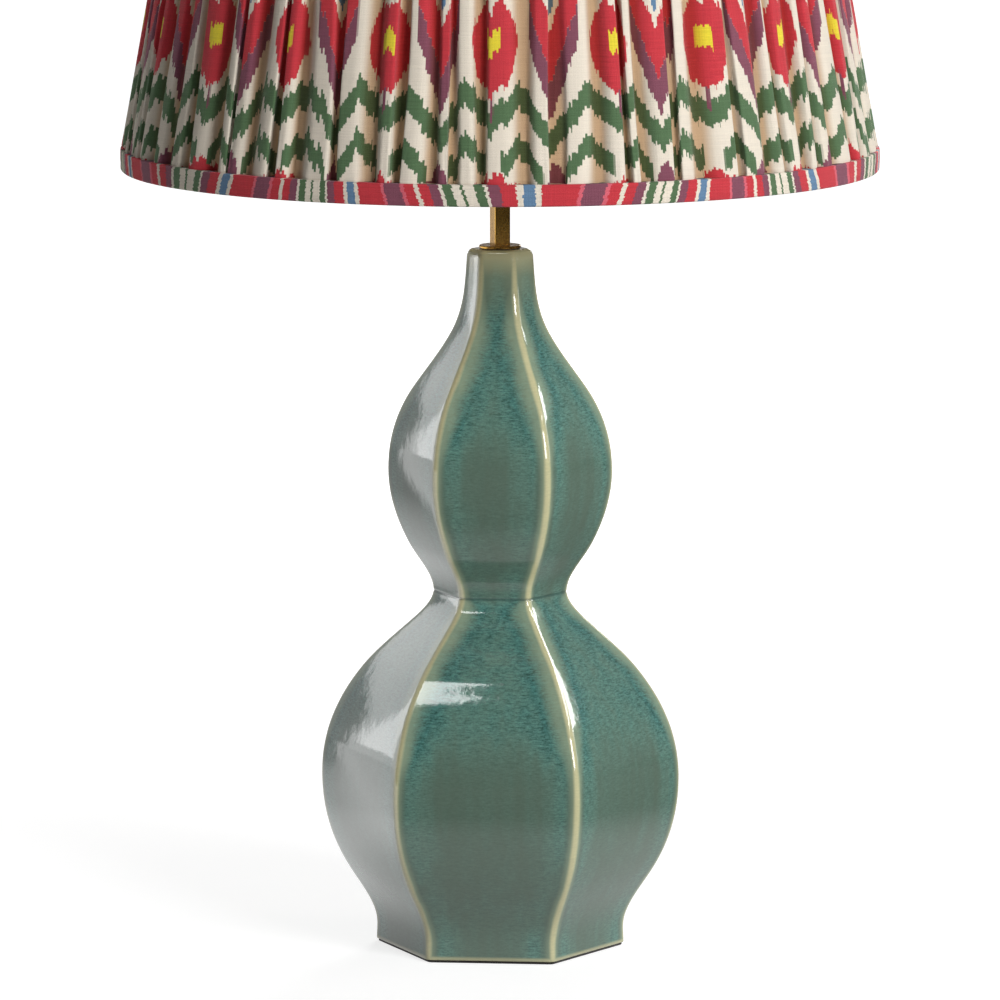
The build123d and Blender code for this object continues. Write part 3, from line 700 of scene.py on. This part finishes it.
def clothMaterial(printedColour, dyed, tree, shader, along, up, relief=0.3):  # dyed is a mask or a number
    weave = placeGroup(tree, weaveGroup, {"Along": along, "Up": up})
    shade = Signal(tree, weave.outputs["Shade"])
    strength = dyed * 0.5 + 0.35
    colour = shadeColour(tree, printedColour, (shade - 0.6) * strength + 1.0)
    plug(tree, colour, shader.inputs["Base Color"])
    plug(tree, bump(tree, weave.outputs["Height"], relief), shader.inputs["Normal"])


def coverMaterial():
    material, tree, shader = newMaterial("ikatLinen", **clothFinish)
    along, up = clothPlace(tree)
    printed = placeGroup(tree, makeIkat(), {"Along": along, "Up": up})
    crest = splitPlace(tree, addNode(tree, "ShaderNodeUVMap", uv_map="folds").outputs[0])[0]
    # Painted shade: the cloth is darkened towards a tan shadow colour in the valleys between the folds
    valley = crest.step(-0.05, 0.75).flip() * 0.85
    colour = mixColour(tree, valley, printed.outputs["Colour"], ikatSettings["shadow"], "MULTIPLY")
    clothMaterial(colour, Signal(tree, printed.outputs["Dyed"]), tree, shader, along, up)
    return material


cover, coverFlat = coverMesh(coverMaterial())
finishPiece(cover, "shade", "ikat_linen", "shade_cover")
print("cover gathered")


# Bands that bind both edges, cut across the print so that it runs as stripes
bindingSettings = {
    "steps": 384, "cloth": 1.4, "lip": 8.0, "inner": 3.8, "roll": 1.3, "stripes": 98.0,
    "thread": 0.9, "block": 6.5, "jag": 1.0, "leanTurn": 38.0, "lean": 0.34, "dyed": 0.8,
    "bracketHalf": 6.5, "bracketCut": 3.3,
    "bands": [
        ("red", 14.0), ("pink", 1.6), ("plum", 9.0), ("pink", 2.0), ("red", 5.5), ("cream", 2.0), ("red", 5.0),
        ("plum", 4.6), ("cream", 1.8), ("green", 4.2), ("cream", 3.4), ("green", 1.6), ("cream", 4.4),
        ("green", 3.8), ("cream", 1.2), ("plum", 4.6), ("red", 6.0), ("cream", 2.2), ("blue", 4.6),
        ("cream", 2.4),
    ],
}


def bindingMaterial():
    material, tree, shader = newMaterial("ikatBinding", **clothFinish)
    along, up = clothPlace(tree)
    b = bindingSettings
    row = (up / b["thread"]).calc("FLOOR")
    block = (along / b["block"]).calc("FLOOR")
    lean = (along / b["leanTurn"]).calc("SINE") * b["lean"]
    shift = (chance(tree, row + block * 3.1) - 0.5) * b["jag"] + up * lean
    place = ((along + shift) / b["stripes"]).calc("FRACT")
    ramp = addNode(tree, "ShaderNodeValToRGB", {0: place})
    ramp.color_ramp.interpolation = "CONSTANT"
    total = sum(width for _, width in b["bands"])
    stops = ramp.color_ramp.elements
    start = 0.0
    for n, (name, width) in enumerate(b["bands"]):
        stop = stops[n] if n < 2 else stops.new(start / total)
        stop.position = start / total
        stop.color = ikatSettings[name]
        start += width
    clothMaterial(ramp.outputs[0], b["dyed"], tree, shader, along, up)
    return material


# Edge is the height of the outer edge, and inward is 1 where the band opens upwards.
def bindingMesh(name, edge, inward, material):
    b, s = bindingSettings, shadeSettings
    mouth = edge + inward * s["binding"]
    outer = crestRadius(mouth) + s["proud"]
    wire = crestRadius(edge + inward * 3.5) - s["wireInset"]
    inner = crestRadius(edge) - s["wireInset"] - s["wireRadius"] - b["inner"]
    leg = max(wire + s["wireRadius"], crestRadius(mouth) - s["strutInset"]) + s["cloth"]
    lip, cloth, roll = edge + inward * b["lip"], b["cloth"], b["roll"]
    turn = -90 if inward > 0 else 90
    outline = [(inner, lip), (inner, edge + inward * roll)]
    outline += arc((inner + roll, edge + inward * roll), roll, 180, 180 - turn, 5)
    outline += [(inner + (outer - inner) * t, edge) for t in (0.35, 0.65)]
    outline += arc((outer - roll, edge + inward * roll), roll, turn, 0, 5)
    outline += [(outer, edge + inward * 4), (outer + 0.15, edge + inward * 7), (outer, edge + inward * 10)]
    outline += arc((outer - 0.6, mouth - inward * 0.6), 0.6, 0, -turn, 3)
    outline += [(leg, mouth), (leg, edge + inward * cloth)]
    outline += [(inner + cloth, edge + inward * cloth), (inner + cloth, lip)]
    if inward < 0:
        outline.reverse()
    steps = b["steps"]
    lengths = [0.0]
    closed = outline + outline[:1]
    for (r0, z0), (r1, z1) in zip(closed, closed[1:]):
        lengths.append(lengths[-1] + hypot(r1 - r0, z1 - z0))
    rings = []
    for r, z in outline:
        ring = []
        for n in range(steps):
            a = 2 * pi * n / steps
            pucker = 0.16 * noise.noise(Vector((70 * cos(a), 70 * sin(a), z / 6))) if r > leg + 0.5 else 0.0
            height = z
            inside = inward > 0 and r < inner + cloth + 0.1 and z > edge + 3
            if inside and abs(r * sin(a)) < b["bracketHalf"]:
                height = edge + b["bracketCut"]  # cut away round the pivot bracket
            ring.append(Vector(((r + pucker) * cos(a), (r + pucker) * sin(a), height)) * mm)
        rings.append(ring)
    points, faces = weaveRings(rings, closed=True)
    piece = makeObject(name, points, [f[::-1] for f in faces], material)
    layer = piece.data.uv_layers.new(name="cloth")
    reach = 2 * pi * s["radius"]
    for n in range(len(faces)):
        for corner, (c, r) in enumerate(quadCorners(n, steps)[::-1]):
            layer.data[4 * n + corner].uv = (c / steps * reach * mm, lengths[r] * mm)
    finishPiece(piece, "shade", "ikat_binding", "bottom_binding" if inward > 0 else "top_binding")
    return piece


bindings = bindingMaterial()
lowerBinding = bindingMesh("lower_band", shadeSettings["bottom"], 1, bindings)
upperBinding = bindingMesh("upper_band", shadeTop, -1, bindings)
print("edges bound")


# The lining inside the wires, cut away round the pivot brackets
liningSettings = {
    "gap": 0.25, "wire": 2.8, "cloth": 0.8, "steps": 288, "rows": 40, "panels": 8, "pull": 0.5,
    "edge": 5.4, "bracketHalf": 6.0, "bracketTop": 465.6, "dyed": 0.0,
}


def liningMaterial():
    material, tree, shader = newMaterial("cottonLining", **{"Roughness": 0.9, "Sheen Weight": 0.1})
    along, up = clothPlace(tree)
    plain = dye("e8e0d0")
    tone = cloud(tree, joinPlace(tree, along, up, 0.0), (60, 90, 1), 2.0)
    colour = mixColour(tree, tone, plain, dye("ddd2bd"))
    clothMaterial(colour, liningSettings["dyed"], tree, shader, along, up, 0.2)
    return material


def liningRing(height, skin):
    c = liningSettings
    base = crestRadius(height) - shadeSettings["wireInset"] - c["wire"] / 2 - c["gap"] - skin
    ring = []
    for n in range(c["steps"]):
        a = 2 * pi * n / c["steps"]
        seam = abs((n / c["steps"] * c["panels"] - 0.5) % 1 - 0.5) * 2
        slack = 0.25 * noise.noise(Vector((30 * cos(a), 30 * sin(a), height / 40)))
        radius = base - max(0.0, c["pull"] * (1 - seam**2) + slack)
        z = height
        if height < c["bracketTop"] and abs(radius * sin(a)) < c["bracketHalf"]:
            z = c["bracketTop"]  # the cut-away at each bracket
        ring.append(Vector((radius * cos(a), radius * sin(a), z)) * mm)
    return ring


def makeLining():
    c = liningSettings
    low, high = shadeSettings["bottom"] + c["edge"], shadeTop - c["edge"]
    heights = [low + (high - low) * n / c["rows"] for n in range(c["rows"] + 1)]
    rings = [liningRing(z, 0) for z in heights] + [liningRing(z, c["cloth"]) for z in heights[::-1]]
    points, faces = weaveRings(rings, closed=True)
    piece = makeObject("cotton_lining_skin", points, faces, liningMaterial())
    layer = piece.data.uv_layers.new(name="cloth")
    steps = c["steps"]
    reach = 2 * pi * (crestRadius(low) - 8) * mm
    for n in range(len(faces)):
        for corner, (around, r) in enumerate(quadCorners(n, steps)):
            layer.data[4 * n + corner].uv = (around / steps * reach, rings[r % len(rings)][0].z)
    finishPiece(piece, "shade", "cotton_lining", "shade_lining")
    slant = (high - low) * hypot(1, shadeSettings["slope"]) * mm
    0.9 * reach * slant


makeLining()
print("shade lined")


# The bayonet lamp in the holder
bulbSettings = {
    "neck": (11.8, 472.0), "radius": 30.0, "centre": 532.0, "splitAngle": -41.81, "steps": 96,
    "white": dye("ecebe6"), "opal": dye("f3f0e6"),
}


def plainMaterial(name, colour, size, amount, relief, **shaderValues):
    material, tree, shader = newMaterial(name, **shaderValues)
    inputs = {"Place": millimetres(tree), "Colour": colour, "Size": size, "Amount": amount}
    grain = placeGroup(tree, grainGroup, inputs)
    plug(tree, grain.outputs["Colour"], shader.inputs["Base Color"])
    plug(tree, bump(tree, grain.outputs["Height"], relief), shader.inputs["Normal"])
    return material


def makeBulb():
    b = bulbSettings
    neck, low = b["neck"]
    start = b["splitAngle"]
    x, z = arc((0, b["centre"]), b["radius"], start, start + 0.01, 1)[0]
    body = [(neck - 4, low), (neck - 0.6, low), (neck, low + 0.6), (neck + 0.1, low + 5)]
    body += [(neck + 1.6, low + 13), (neck + 2.9, low + 20), (neck + 5.0, low + 27)]
    body += [(x - 1.6, z - 3.4), (x - 0.2, z - 0.5), (x - 0.5, z), (x - 6, z)]
    ball = [(x - 6, z), (x - 0.5, z)] + arc((0, b["centre"]), b["radius"], start + 0.6, 89.4, 40)
    white = plainMaterial("bulbWhite", b["white"], 0.6, 0.12, 0.05, Roughness=0.35)
    opal = plainMaterial("opal", b["opal"], 0.8, 0.08, 0.04, Roughness=0.22)
    for name, outline, slot, material, replaced in (
        ("bulb_body", body, "bulb_white", white, "bulb_housing"),
        ("bulb_globe", ball, "opal_diffuser", opal, "bulb_diffuser"),
    ):
        points, faces = weaveRings(turnedRings(outline, b["steps"]), closed=False)
        capEnds(points, faces, b["steps"])
        finishPiece(makeObject(name, points, faces, material), "bulb", slot, replaced)


makeBulb()
print("bulb made")


# Finishes of the pieces that keep their own shape
def brassMaterial(name, clean, aged, size, roughness, worn):
    material, tree, shader = newMaterial(name, Metallic=1.0)
    inputs = {"Place": millimetres(tree), "Clean": dye(clean), "Aged": dye(aged), "Size": size}
    wear = placeGroup(tree, wearGroup, inputs)
    plug(tree, wear.outputs["Colour"], shader.inputs["Base Color"])
    plug(tree, Signal(tree, wear.outputs["Mask"]) * worn + roughness, shader.inputs["Roughness"])
    plug(tree, bump(tree, wear.outputs["Height"], 0.06), shader.inputs["Normal"])
    return material


def dressNodes():
    finishes = {
        "black_rubber": plainMaterial("blackRubber", dye("1d1c1b"), 0.5, 0.5, 0.12, Roughness=0.75),
        "fibreboard": plainMaterial("fibreboard", dye("8a6a48"), 0.7, 0.8, 0.25, Roughness=0.9),
        "zinc_steel": brassMaterial("zincSteel", "b9b8b2", "8f9192", 1.0, 0.32, 0.2),
        "fibre_seal": plainMaterial("fibreSeal", dye("4a4038"), 0.5, 0.6, 0.15, Roughness=0.9),
        "aged_brass": brassMaterial("agedBrass", "9c7838", "684a22", 1.0, 0.24, 0.2),
        "holder_brass": brassMaterial("holderBrass", "c2a053", "a07e3c", 1.3, 0.2, 0.15),
        "moulded_insert": plainMaterial("mouldedInsert", dye("2b2622"), 0.6, 0.4, 0.08, Roughness=0.4),
        "contact_brass": brassMaterial("contactBrass", "d0b060", "b08c46", 0.6, 0.2, 0.1),
        "spring_steel": brassMaterial("springSteel", "b5b5b5", "909090", 0.5, 0.25, 0.1),
        "white_enamel": plainMaterial("whiteEnamel", dye("e9e6df"), 1.2, 0.1, 0.06, Roughness=0.3),
        "nickel_cap": brassMaterial("nickelCap", "c9c8c4", "a9a8a4", 1.0, 0.24, 0.14),
        "black_vitrite": plainMaterial("blackVitrite", dye("17171a"), 0.8, 0.3, 0.04, Roughness=0.1),
        "solder": brassMaterial("solderPads", "bdbdbd", "98999b", 0.5, 0.3, 0.15),
    }
    slots = {part["node"]: part["material_slot"] for part in frame["record"]["subparts"]}
    for label, node in nodes.items():
        finish = finishes.get(slots[label])
        if finish:
            node.data.materials.clear()
            node.data.materials.append(finish)


dressNodes()
print("fittings finished")


# The small springs under the plungers get a mesh of their own
springs = nodes["plunger_springs"]
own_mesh(springs)


# Lights, floor and the white surroundings
lightSettings = {
    "key": {"place": (1.99, -2.37, 1.45), "aim": (0.0, 0.0, 0.4), "size": (1.2, 1.2), "watts": 92.0},
    "side": {"place": (2.5, 0.35, 1.1), "aim": (0.0, 0.0, 0.5), "size": (0.7, 1.4), "watts": 8.5},
    "back": {"place": (0.5, 3.0, 1.5), "aim": (0.0, 0.0, 0.4), "size": (1.2, 1.2), "watts": 62.0},
    "edge": {"place": (-2.3, 1.3, 0.9), "aim": (0.0, 0.0, 0.4), "size": (0.3, 1.4), "watts": 3.0},
}
surroundings = {
    "fill": 0.17, "floorGrey": 0.6, "glow": 0.76, "farGlow": 0.28, "share": 0.4, "floorSize": 9.0,
    "floorLevel": -0.0002, "room": 0.08, "backdrop": 0.3, "mirrored": 0.05, "foot": 0.8, "pool": 2.5, "veil": 0.7,
    "mirroredShare": 0.12, "poolTurn": 143.0, "poolFrom": (-0.06, -0.036), "poolSpan": (92.0, 236.0),
}
# Panels that only show as reflections: compass turn and elevation in degrees, each with its own brightness.
# Turn is measured from +X towards +Y, so the camera stands near 275. Lean draws the near edge away as it rises.
panelSettings = {
    "veil": {
        "turn": (98.0, 190.0), "elevation": (-12.0, 72.0),
        "bright": 0.7, "soft": 7.0, "lean": 0.0, "ragged": 0.0,
    },
    "left": {
        "turn": (144.4, 190.0), "elevation": (-12.0, 80.0),
        "bright": 2.1, "soft": 0.5, "lean": 0.075, "ragged": 1.5,
    },
    "over": {
        "turn": (228.0, 259.0), "elevation": (51.0, 70.0),
        "bright": 12.0, "soft": 0.4, "lean": 0.0, "ragged": 16.0,
    },
    "strip": {
        "turn": (-58.0, 20.5), "elevation": (37.0, 64.0),
        "bright": 15.0, "soft": 0.8, "lean": -0.024, "ragged": 0.0,
    },
    "sliver": {
        "turn": (8.0, 20.5), "elevation": (20.0, 38.0),
        "bright": 15.0, "soft": 0.5, "lean": -0.024, "ragged": 0.0,
    },
}


def placeLight(name, place, aim, size, watts):
    data = bpy.data.lights.new(name, "AREA")
    data.shape = "RECTANGLE"
    data.size, data.size_y = size
    data.energy = watts
    lamp = bpy.data.objects.new(name, data)
    lamp.location = place
    lamp.rotation_euler = (Vector(aim) - Vector(place)).to_track_quat("-Z", "Y").to_euler()
    bpy.context.scene.collection.objects.link(lamp)


def compass(x, y):  # turn in degrees, from -60 to 300
    return y.calc("ARCTAN2", x).calc("MULTIPLY", 180 / pi).calc("WRAP", 300.0, -60.0)


def makeFloor():
    s = surroundings
    material, tree, shader = newMaterial("studioFloor", Roughness=1.0)
    tree.nodes.remove(shader)
    x, y = splitPlace(tree, addNode(tree, "ShaderNodeTexCoord").outputs["Object"])[:2]
    far = (x * x + y * y).calc("SQRT")
    edge = radians(s["poolTurn"])  # the gourd's left faces mirror a bright floor beyond a line, and a dim one
    fromX, fromY = s["poolFrom"]
    beyond = ((x - fromX) * -sin(edge) + (y - fromY) * cos(edge)).step(-0.03, 0.05)
    veil = far.step(0.4, 1.2).flip() * s["veil"] + s["veil"]
    pool = (beyond.flip() * veil + beyond * s["pool"]) * far.step(0.03, 0.36)
    pool = compass(x, y).inside(*s["poolSpan"], 10.0) * pool
    mirrored = far.step(0.18, 0.4).flip() * s["foot"] + pool + s["mirrored"]
    rays = addNode(tree, "ShaderNodeLightPath")
    glossy = Signal(tree, rays.outputs["Is Glossy Ray"])
    strength = far.step(0.3, 1.8) * s["farGlow"] + s["glow"]
    strength = (mirrored - strength) * glossy + strength
    plain = addNode(tree, "ShaderNodeBsdfDiffuse", {"Color": (s["floorGrey"],) * 3 + (1,)})
    share = glossy * (s["mirroredShare"] - s["share"]) + s["share"]
    thin = addNode(tree, "ShaderNodeBsdfDiffuse", {"Color": joinPlace(tree, share, share, share)})
    glow = addNode(tree, "ShaderNodeEmission", {"Color": (1, 1, 1, 1), "Strength": strength})
    seen = addNode(tree, "ShaderNodeAddShader", {0: thin.outputs[0], 1: glow.outputs[0]})
    shown = Signal(tree, rays.outputs["Is Camera Ray"]).calc("MAXIMUM", glossy)
    shown = shown.calc("MAXIMUM", Signal(tree, rays.outputs["Is Transmission Ray"]))
    mix = addNode(tree, "ShaderNodeMixShader", {0: shown, 1: plain.outputs[0], 2: seen.outputs[0]})
    under = addNode(tree, "ShaderNodeNewGeometry").outputs["Backfacing"]  # seen through from below
    clear = addNode(tree, "ShaderNodeBsdfTransparent")
    whole = addNode(tree, "ShaderNodeMixShader", {0: under, 1: mix.outputs[0], 2: clear.outputs[0]})
    plug(tree, whole.outputs[0], tree.nodes["Material Output"].inputs["Surface"])
    half, level = s["floorSize"], s["floorLevel"]
    points = [(-half, -half, level), (half, -half, level), (half, half, level), (-half, half, level)]
    makeObject("studio_floor", points, [(0, 1, 2, 3)], material, smooth=False)


def makeWorld():
    s = surroundings
    world = bpy.data.worlds.new("studio")
    bpy.context.scene.world = world
    world.use_nodes = True
    tree = world.node_tree
    base = tree.nodes["Background"]
    plug(tree, (1, 1, 1, 1), base.inputs["Color"])
    rays = addNode(tree, "ShaderNodeLightPath")
    x, y, z = splitPlace(tree, addNode(tree, "ShaderNodeTexCoord").outputs["Generated"])
    turn = compass(x, y)
    elevation = z.calc("ARCSINE").calc("MULTIPLY", 180 / pi)
    mirror = y.step(-0.2, 0.9) * (s["backdrop"] - s["room"]) + s["room"]
    rise = (elevation - 7.0).calc("MAXIMUM", 0.0)
    tear = cloud(tree, joinPlace(tree, x, y, z), (0.09, 0.09, 0.09), 3.0, 0.6) - 0.5
    for panel in panelSettings.values():
        leaning = rise * rise * panel["lean"] + turn + tear * panel["ragged"]
        height = elevation + tear * panel["ragged"]
        wide = leaning.inside(*panel["turn"], panel["soft"])
        mirror = wide * height.inside(*panel["elevation"], panel["soft"]) * panel["bright"] + mirror
    through = Signal(tree, rays.outputs["Is Transmission Ray"])
    camera = Signal(tree, rays.outputs["Is Camera Ray"]).calc("MAXIMUM", through)
    glossy = Signal(tree, rays.outputs["Is Glossy Ray"])
    strength = glossy * (mirror - s["fill"]) + s["fill"]
    strength = camera * (strength.calc("MULTIPLY_ADD", -1.0, 1.0)) + strength
    plug(tree, strength, base.inputs["Strength"])


for label, lamp in lightSettings.items():
    placeLight(label + "Light", **lamp)
makeFloor()
makeWorld()
print("studio lit")
